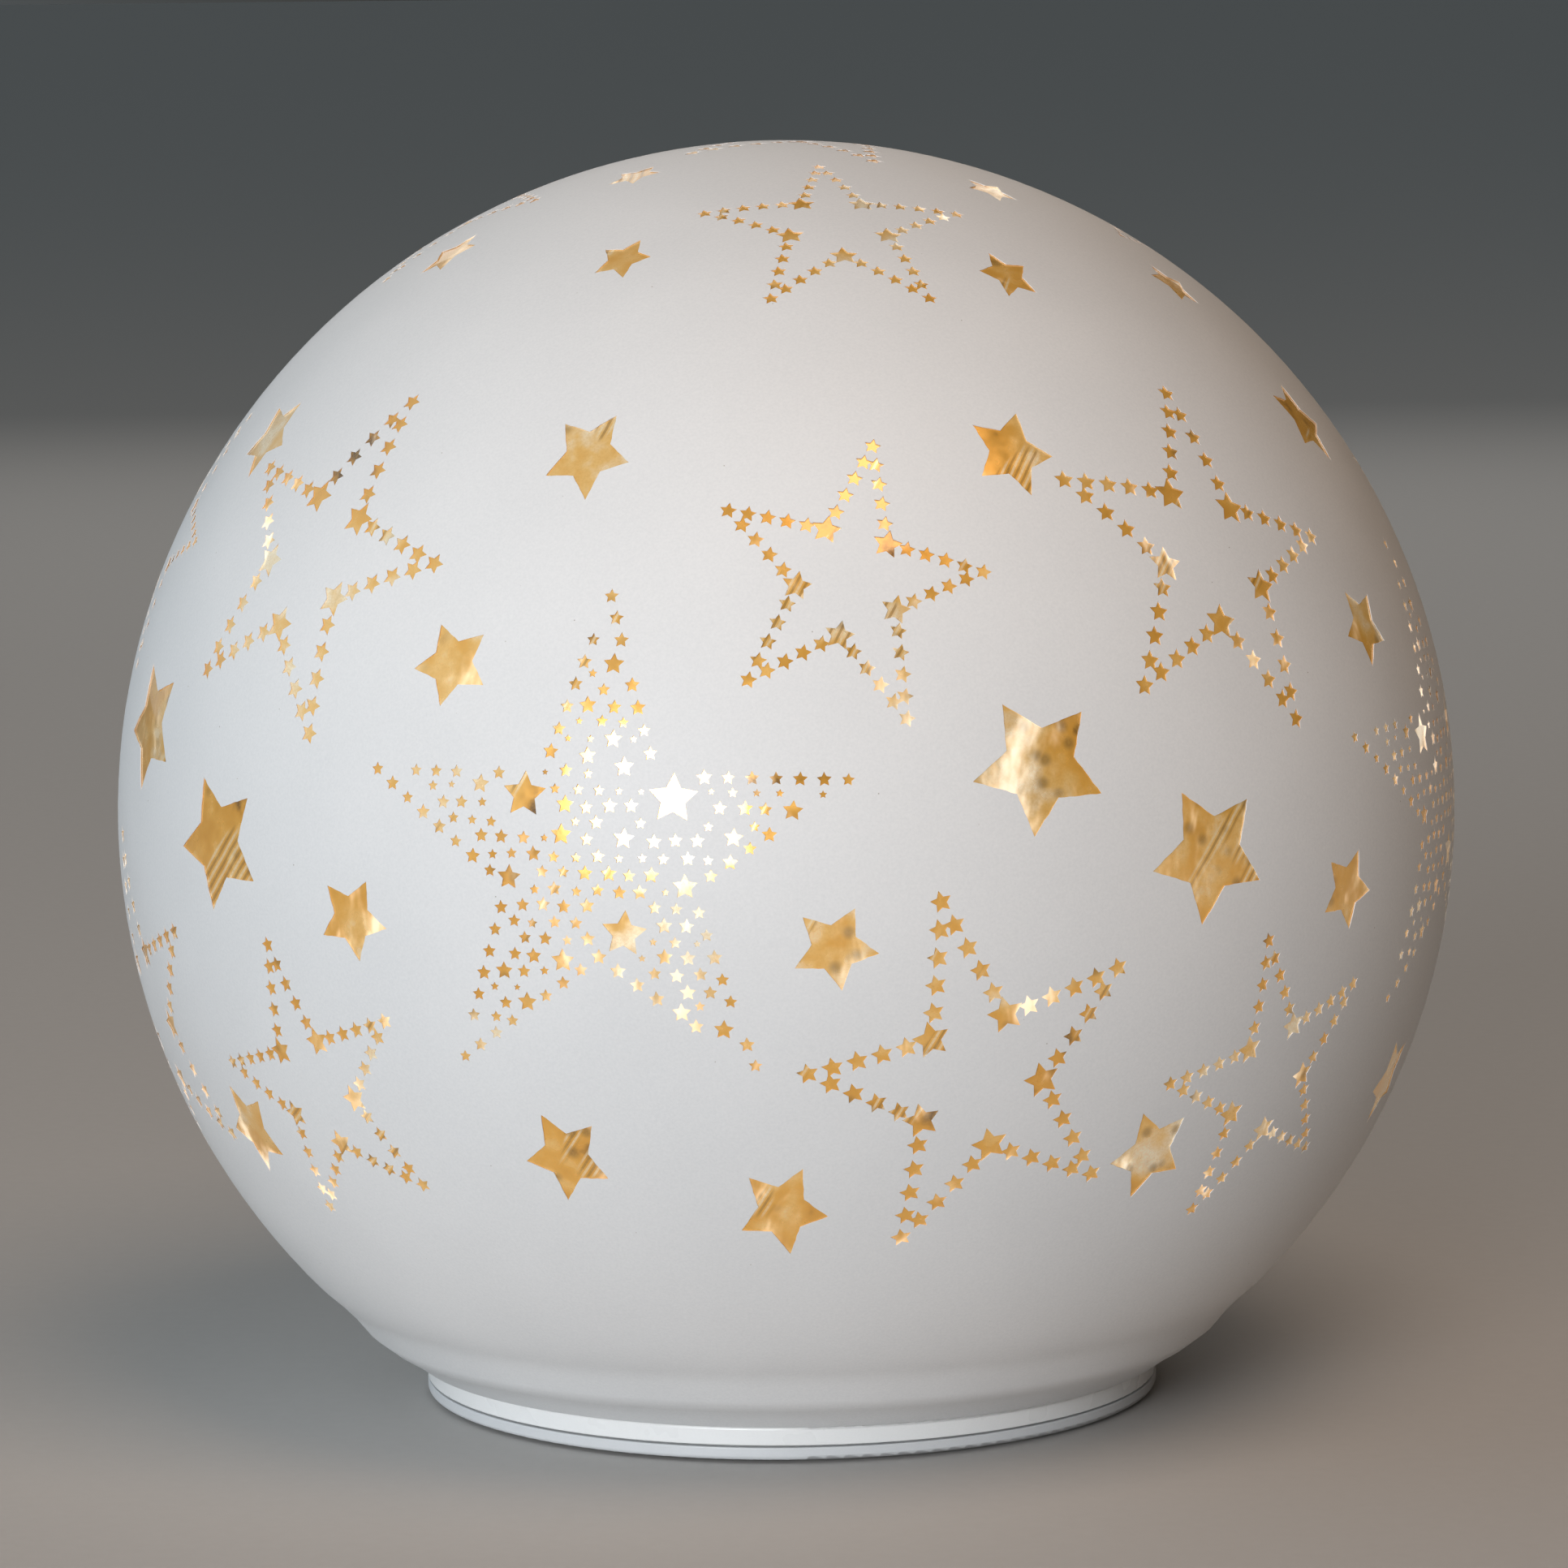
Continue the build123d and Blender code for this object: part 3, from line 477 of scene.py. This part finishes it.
# ---- materials ----------------------------------------------------------------------------
class Shader:
    """A node material: a Principled surface and short ways to add the nodes that drive it."""

    def __init__(self, name, **values):
        self.material = bpy.data.materials.new(name)
        self.material.use_nodes = True
        self.tree = self.material.node_tree
        self.surface = self.tree.nodes["Principled BSDF"]
        self.place = self.tree.nodes.new("ShaderNodeTexCoord").outputs["Object"]
        for socket, value in values.items():
            self.surface.inputs[socket.replace("_", " ")].default_value = value

    def node(self, kind, inputs, **settings):
        made = self.tree.nodes.new("ShaderNode" + kind)
        for setting, value in settings.items():
            setattr(made, setting, value)
        for socket, value in inputs.items():
            target = made.inputs[socket]
            if isinstance(value, bpy.types.NodeSocket):
                self.tree.links.new(value, target)
            else:
                target.default_value = value
        return made

    def drive(self, socket, source):
        self.tree.links.new(source, self.surface.inputs[socket])

    def noise(self, scale, detail=2.0, roughness=0.5, distortion=0.0, place=None):
        made = self.node("TexNoise", {
            "Vector": place or self.place, "Scale": scale, "Detail": detail,
            "Roughness": roughness, "Distortion": distortion})
        return made.outputs["Fac"]

    def spots(self, scale):
        made = self.node("TexVoronoi", {"Vector": self.place, "Scale": scale, "Randomness": 1.0})
        return made.outputs["Distance"]

    def stretched(self, **values):
        """The place, moved, turned or scaled."""
        return self.node("Mapping", {"Vector": self.place, **values}).outputs[0]

    def both(self, a, b):
        return self.node("Math", {0: a, 1: b}, operation="MULTIPLY").outputs[0]

    def blend(self, a, b, share_of_a):
        """The sum of two values by share."""
        return self.node("Math", {0: self.both(a, share_of_a), 1: self.both(b, 1 - share_of_a)},
                         operation="ADD").outputs[0]

    def span(self, value, low, high, to_low=0.0, to_high=1.0):
        """Maps low..high to to_low..to_high with soft ends."""
        made = self.node("MapRange", {"Value": value, "From Min": low, "From Max": high,
                                      "To Min": to_low, "To Max": to_high},
                         interpolation_type="SMOOTHSTEP")
        return made.outputs["Result"]

    def ramp(self, value, stops):
        made = self.node("ValToRGB", {"Fac": value})
        elements = made.color_ramp.elements
        while len(elements) < len(stops):
            elements.new(0.5)
        for element, (position, colour) in zip(elements, stops):
            element.position = position
            element.color = (*colour, 1.0)
        return made.outputs["Color"]

    def mix(self, share, a, b):
        made = self.node("Mix", {0: share}, data_type="RGBA", blend_type="MIX")
        for socket, value in ((made.inputs[6], a), (made.inputs[7], b)):
            if isinstance(value, bpy.types.NodeSocket):
                self.tree.links.new(value, socket)
            else:
                socket.default_value = (*value, 1.0)
        return made.outputs[2]

    def bump(self, height, strength, distance):
        made = self.node("Bump", {"Height": height, "Strength": strength, "Distance": distance})
        self.drive("Normal", made.outputs["Normal"])


def coat_finish():
    """Satin white lacquer: fine grain, a few specks, slightly uneven gloss."""
    shader = Shader("satin_coat", Specular_IOR_Level=0.35)
    grain = shader.noise(2600, 3)
    cloud = shader.noise(30, 2)
    tone = shader.blend(grain, cloud, 0.6)
    colour = shader.ramp(tone, [(0.3, (0.76, 0.765, 0.77)), (0.7, (0.84, 0.84, 0.84))])
    speck = shader.span(shader.spots(330), 0.045, 0.02)
    speck = shader.both(speck, shader.span(shader.noise(140, 0), 0.6, 0.64))
    colour = shader.mix(speck, colour, (0.45, 0.42, 0.38))
    shader.drive("Base Color", colour)
    shader.drive("Roughness", shader.span(shader.noise(60, 3), 0.3, 0.7, 0.44, 0.54))
    shader.bump(grain, 0.12, 0.00003)
    return shader.material


def gold_finish():
    """Mirror-gold lacquer seen through clear glass: partly uneven as such lacquer is, partly
    painted reflections, painted glints and a painted glow.
    """
    shader = Shader("mirror_gold", Metallic=0.45, Coat_Weight=1.0, Coat_Roughness=0.05,
                    Coat_IOR=1.7)
    broad = shader.noise(42, 3, 0.55, 0.6)
    fine = shader.noise(330, 2, 0.5)
    # painted reflection: the tone runs from dark brown to pale cream, partly uneven lacquer and
    # partly the dark and pale room painted in as if seen in the mirror gold
    gold = shader.ramp(shader.blend(broad, fine, 0.75), [
        (0.33, (0.16, 0.08, 0.025)), (0.4, (0.76, 0.37, 0.06)), (0.49, (0.86, 0.45, 0.09)),
        (0.56, (0.93, 0.57, 0.19)), (0.66, (1.0, 0.86, 0.62))])
    # painted reflections: fine dark and bright lines that run slantwise, only here and there, where
    # the mirror gold's reflection of the room breaks
    slanted = shader.stretched(Rotation=(0.0, -0.54, 0.0))
    lines = shader.node("TexWave", {
        "Vector": slanted, "Scale": 260.0, "Distortion": 2.5, "Detail": 2.0,
        "Detail Scale": 0.3}, wave_type="BANDS", bands_direction="X").outputs["Fac"]
    strips = shader.node("Mapping", {"Vector": slanted, "Scale": (2.4, 0.8, 0.5)}).outputs[0]
    painted_reflection_bands = shader.span(shader.noise(75, 1, 0.5, 0.0, strips), 0.59, 0.64)
    dark = shader.both(shader.span(lines, 0.7, 0.9), painted_reflection_bands)
    bright = shader.both(shader.span(lines, 0.3, 0.1), painted_reflection_bands)
    # painted reflection: the dark lines darken the gold and the bright lines lighten it
    gold = shader.mix(shader.both(dark, 0.7), gold, (0.36, 0.2, 0.05))
    gold = shader.mix(shader.both(bright, 0.6), gold, (1.0, 0.86, 0.58))
    # soft dark spots in patches
    spots = shader.span(shader.spots(300), 0.4, 0.08)
    patch = shader.span(shader.noise(50, 1, 0.5, 0.3), 0.48, 0.58)
    spots = shader.both(spots, patch)
    gold = shader.mix(shader.both(spots, 0.6), gold, (0.2, 0.12, 0.04))
    sand = shader.noise(3000, 1)
    gold = shader.mix(shader.span(sand, 0.35, 0.7, 0.0, 0.25), gold, (0.72, 0.4, 0.09))
    shader.drive("Base Color", gold)
    shader.drive("Roughness", shader.span(fine, 0.3, 0.7, 0.16, 0.3))
    # painted light: a faint even painted glow for the lamp's light through the gold, and soft paler
    # painted glints here and there for the lamp inside and for reflections in the uneven gold
    upright = shader.stretched(Scale=(1.0, 1.0, 0.45), Location=(6.89, 3.77, 2.21))
    painted_glint = shader.span(shader.noise(85, 4, 0.62, 0.3, upright), 0.51, 0.72)
    shader.drive("Emission Color", shader.mix(painted_glint, gold, (1.0, 0.92, 0.76)))
    shader.drive("Emission Strength", shader.span(painted_glint, 0.0, 1.0, 0.2, 0.95))
    shader.bump(shader.noise(420, 2), 0.12, 0.0002)
    return shader.material


def scaled(colour, share):
    return tuple(part * share for part in colour)


def plastic_finish(name, colour, roughness, grain=3600):
    """Moulded plastic: fine texture and slightly uneven gloss and tone."""
    shader = Shader(name, Specular_IOR_Level=0.5)
    texture = shader.noise(grain, 3)
    shader.drive("Base Color", shader.mix(shader.span(texture, 0.35, 0.65),
                                          scaled(colour, 0.985), colour))
    shader.drive("Roughness", shader.span(shader.noise(90, 3), 0.3, 0.7,
                                          roughness - 0.05, roughness + 0.05))
    shader.bump(texture, 0.15, 0.00001)
    return shader.material


def metal_finish(name, colour, roughness, stretch=(1, 1, 14)):
    """Drawn or plated metal: fine streaks and slight stains."""
    shader = Shader(name, Metallic=1.0)
    streaks = shader.noise(900, 3, 0.6, 0.0, shader.stretched(Scale=stretch))
    stain = shader.span(shader.noise(240, 3), 0.5, 0.75, 0.0, 0.35)
    base = shader.mix(shader.span(streaks, 0.3, 0.7), scaled(colour, 0.85), colour)
    shader.drive("Base Color", shader.mix(stain, base, scaled(colour, 0.7)))
    shader.drive("Roughness", shader.span(streaks, 0.3, 0.7, roughness, roughness + 0.14))
    shader.bump(streaks, 0.1, 0.00001)
    return shader.material


def wrap_finish():
    """A battery's foil wrap: dark, with a copper band at one end, no lettering."""
    shader = Shader("cell_wrap", Metallic=0.6, Coat_Weight=0.4, Coat_Roughness=0.12)
    along_cell = shader.node("SeparateXYZ", {"Vector": shader.place}).outputs["X"]
    colour = shader.ramp(shader.span(along_cell, -0.0135, -0.0125),
                         [(0.0, (0.72, 0.46, 0.2)), (1.0, (0.05, 0.09, 0.11))])
    scuff = shader.span(shader.noise(500, 4, 0.7), 0.56, 0.7, 0.0, 0.3)
    shader.drive("Base Color", shader.mix(scuff, colour, (0.4, 0.4, 0.4)))
    shader.drive("Roughness", shader.span(shader.noise(200, 3), 0.3, 0.7, 0.22, 0.36))
    return shader.material


def board_finish():
    """Solder mask over copper: paler tracks show through the green."""
    shader = Shader("board_green", Specular_IOR_Level=0.5)
    tracks = shader.node("TexBrick", {
        "Vector": shader.place, "Scale": 90.0, "Mortar Size": 0.07,
        "Mortar Smooth": 0.2}).outputs["Fac"]
    weave = shader.noise(1500, 2)
    green = shader.mix(shader.span(weave, 0.3, 0.7), (0.012, 0.11, 0.04), (0.02, 0.15, 0.055))
    shader.drive("Base Color", shader.mix(shader.both(tracks, 0.6), green, (0.06, 0.26, 0.1)))
    shader.drive("Roughness", shader.span(weave, 0.3, 0.7, 0.24, 0.36))
    shader.bump(tracks, 0.2, 0.00004)
    return shader.material


def clear_finish(name, colour, roughness):
    """Clear plastic or adhesive, with faint flow marks."""
    shader = Shader(name, Transmission_Weight=0.85, IOR=1.47)
    flow = shader.noise(260, 3, 0.5, 0.8)
    shader.drive("Base Color", shader.mix(shader.span(flow, 0.3, 0.7),
                                          scaled(colour, 0.94), colour))
    shader.drive("Roughness", shader.span(flow, 0.3, 0.7, roughness, roughness + 0.08))
    return shader.material


def led_finish():
    """Clear resin drops that glow warm."""
    shader = Shader("led_resin", IOR=1.5, Emission_Strength=1.5,
                    Emission_Color=(1.0, 0.72, 0.32, 1.0))
    flow = shader.noise(700, 2)
    shader.drive("Base Color", shader.mix(shader.span(flow, 0.3, 0.7),
                                          (0.9, 0.7, 0.4), (1.0, 0.8, 0.5)))
    shader.drive("Roughness", shader.span(flow, 0.3, 0.7, 0.08, 0.2))
    return shader.material


def rubber_finish(name, colour):
    """Soft rubber: matt, lightly mottled."""
    shader = Shader(name, Specular_IOR_Level=0.3)
    mottle = shader.noise(800, 4, 0.6)
    shader.drive("Base Color", shader.mix(shader.span(mottle, 0.3, 0.7),
                                          scaled(colour, 0.8), colour))
    shader.drive("Roughness", shader.span(mottle, 0.3, 0.7, 0.68, 0.86))
    shader.bump(mottle, 0.3, 0.00004)
    return shader.material


# which finish each CAD node gets, by the start of its name
steel = metal_finish("zinc_steel", (0.6, 0.6, 0.61), 0.24)
nickel = metal_finish("nickel_strip", (0.7, 0.67, 0.61), 0.2, (14, 1, 1))
spring = metal_finish("spring_steel", (0.66, 0.65, 0.64), 0.22)
copper = metal_finish("enamelled_copper", (0.72, 0.38, 0.2), 0.25)
can = metal_finish("capacitor_can", (0.3, 0.32, 0.36), 0.26)
white_plastic = plastic_finish("white_plastic", (0.9, 0.9, 0.89), 0.3)
cover_plastic = plastic_finish("cover_plastic", (0.7, 0.71, 0.72), 0.34)
black_plastic = plastic_finish("black_plastic", (0.03, 0.03, 0.032), 0.42)
ceramic = plastic_finish("resistor_ceramic", (0.09, 0.09, 0.1), 0.5, 2600)
insulation = {
    "led_lead": plastic_finish("white_insulation", (0.78, 0.78, 0.76), 0.4, 2200),
    "lead_positive": plastic_finish("red_insulation", (0.5, 0.025, 0.02), 0.4, 2200),
    "lead_negative": plastic_finish("black_insulation", (0.02, 0.02, 0.02), 0.4, 2200),
}
insulation["switch_lead"] = insulation["led_lead"]
gold = gold_finish()
FINISHES = {
    "base_housing": white_plastic, "bottom_cover": cover_plastic, "battery_door": cover_plastic,
    "battery_1": wrap_finish(), "battery_spring": spring, "board_screws": steel,
    "capacitor": can, "circuit_board": board_finish(), "contact": nickel, "cover_screws": steel,
    "door_hinge_pin": steel, "foot_pad": rubber_finish("grey_rubber", (0.6, 0.6, 0.58)),
    "glue_ring": clear_finish("adhesive", (0.9, 0.88, 0.82), 0.25), "gold_lining": gold,
    "lead_grommet": rubber_finish("black_rubber", (0.03, 0.03, 0.03)), "led_beads": led_finish(),
    "led_post": clear_finish("clear_tube", (0.95, 0.96, 0.96), 0.06), "led_wire": copper,
    "post_screws": steel, "resistors": ceramic, "switch_body": black_plastic,
    "switch_pins": nickel, "switch_screws": steel, "switch_slider": black_plastic,
    "timer_chip": black_plastic, **insulation,
}
FINISHES["battery_2"] = FINISHES["battery_3"] = FINISHES["battery_1"]


def dress(piece, material):
    piece.data.materials.clear()
    piece.data.materials.append(material)


def finish_of(name):
    """The finish whose key is the longest start of a node's name."""
    keys = [key for key in FINISHES if name.startswith(key)]
    return FINISHES[max(keys, key=len)]


for name, node in nodes.items():
    if name != "glass_globe":
        dress(node, finish_of(name))

# ---- the pieces ---------------------------------------------------------------------------
coat = globe_coat(pattern())
dress(coat, coat_finish())
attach(coat, "lamp")
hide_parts("glass_globe")

glass = globe_glass()
dress(glass, gold)
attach(glass, "lamp")
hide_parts("glass_globe")


# ---- floor, light and camera --------------------------------------------------------------
def floor():
    """A wide pale floor."""
    half = 15.0
    corners = [(-half, -half, 0), (half, -half, 0), (half, half, 0), (-half, half, 0)]
    piece = new_piece("floor", corners, [(0, 1, 2, 3)])
    shader = Shader("pale_floor", Specular_IOR_Level=0.2, Roughness=0.85)
    shader.drive("Base Color", shader.mix(shader.noise(400, 3),
                                          (0.52, 0.5, 0.48), (0.55, 0.53, 0.51)))
    dress(piece, shader.material)


# soft boxes: name, azimuth (0 behind the camera, growing to the right), elevation, distance,
# width, height, spread, watts, colour. The window's narrow spread keeps it off the floor before it.
SOFT_BOXES = [
    ("window", -21, 8.5, 3.0, 1.55, 1.25, 60, 8.3, (0.965, 1.0, 1.04)),
    ("top", 30, 64, 1.8, 1.0, 1.0, 180, 10.2, (1.0, 0.76, 0.58)),
    ("strip", 74, 12, 1.8, 0.06, 0.4, 180, 0.25, (1.0, 0.86, 0.66)),
    ("back", 180, 25, 1.8, 1.2, 1.0, 180, 2.5, (1.0, 0.98, 0.95)),
]


def soft_box(name, azimuth, elevation, distance, width, height, spread, watts, colour):
    """A light that faces the globe and isn't seen itself."""
    light = bpy.data.lights.new(name, "AREA")
    light.shape = "RECTANGLE"
    light.size, light.size_y = width, height
    light.spread = math.radians(spread)
    light.energy = watts
    light.color = colour
    lamp = bpy.data.objects.new(name, light)
    way = on_sphere(azimuth, elevation)
    lamp.location = GLOBE_CENTRE + way * distance
    lamp.rotation_euler = way.to_track_quat("Z", "Y").to_euler()
    lamp.visible_camera = False
    bpy.context.scene.collection.objects.link(lamp)


# the room: an even glow, and a pale side that fades in towards one direction
ROOM_GLOW = (0.025, 0.018, 0.011)
ROOM_SIDE = (-1, 0, 0)
ROOM_SIDE_COLOUR = (0.42, 0.54, 0.62)


def room():
    """The light of the room around, stronger from one side."""
    world = bpy.data.worlds.new("room")
    world.use_nodes = True
    bpy.context.scene.world = world
    nodes_in, link = world.node_tree.nodes, world.node_tree.links.new
    way = nodes_in.new("ShaderNodeTexCoord").outputs["Generated"]
    towards = nodes_in.new("ShaderNodeVectorMath")
    towards.operation = "DOT_PRODUCT"
    towards.inputs[1].default_value = ROOM_SIDE
    link(way, towards.inputs[0])
    facing = nodes_in.new("ShaderNodeMath")
    facing.operation = "MAXIMUM"
    facing.inputs[1].default_value = 0.0
    link(towards.outputs["Value"], facing.inputs[0])
    side = nodes_in.new("ShaderNodeVectorMath")
    side.operation = "SCALE"
    side.inputs[0].default_value = ROOM_SIDE_COLOUR
    link(facing.outputs[0], side.inputs["Scale"])
    total = nodes_in.new("ShaderNodeVectorMath")
    total.operation = "ADD"
    total.inputs[0].default_value = ROOM_GLOW
    link(side.outputs[0], total.inputs[1])
    link(total.outputs[0], nodes_in["Background"].inputs["Color"])


def turned(first, second, angle):
    """Two square directions, turned in their own plane."""
    cos, sin = math.cos(math.radians(angle)), math.sin(math.radians(angle))
    return first * cos + second * sin, second * cos - first * sin


def camera():
    """Looks along +Y and slightly down, with a long lens, from ten radii away."""
    elevation, pitch, roll, yaw = 7.53, 0.201, -0.597, -0.016
    distance = 10.34 * GLOBE_R
    lens, sensor = 157.91, 36.0
    down = math.radians(elevation)
    forward = Vector((0, math.cos(down), -math.sin(down)))
    right = Vector((1, 0, 0))
    up = right.cross(forward)
    place = GLOBE_CENTRE - forward * distance
    forward, right = turned(forward, right, yaw)
    forward, up = turned(forward, up, pitch)
    right, up = turned(right, up, roll)
    data = bpy.data.cameras.new("camera")
    data.sensor_width, data.lens = sensor, lens
    made = bpy.data.objects.new("camera", data)
    axes = Matrix((right, up, -forward)).transposed().to_4x4()
    made.matrix_world = Matrix.Translation(place) @ axes
    bpy.context.scene.collection.objects.link(made)
    bpy.context.scene.camera = made


floor()
for box in SOFT_BOXES:
    soft_box(*box)
room()
camera()
bpy.context.scene.view_settings.view_transform = "Standard"
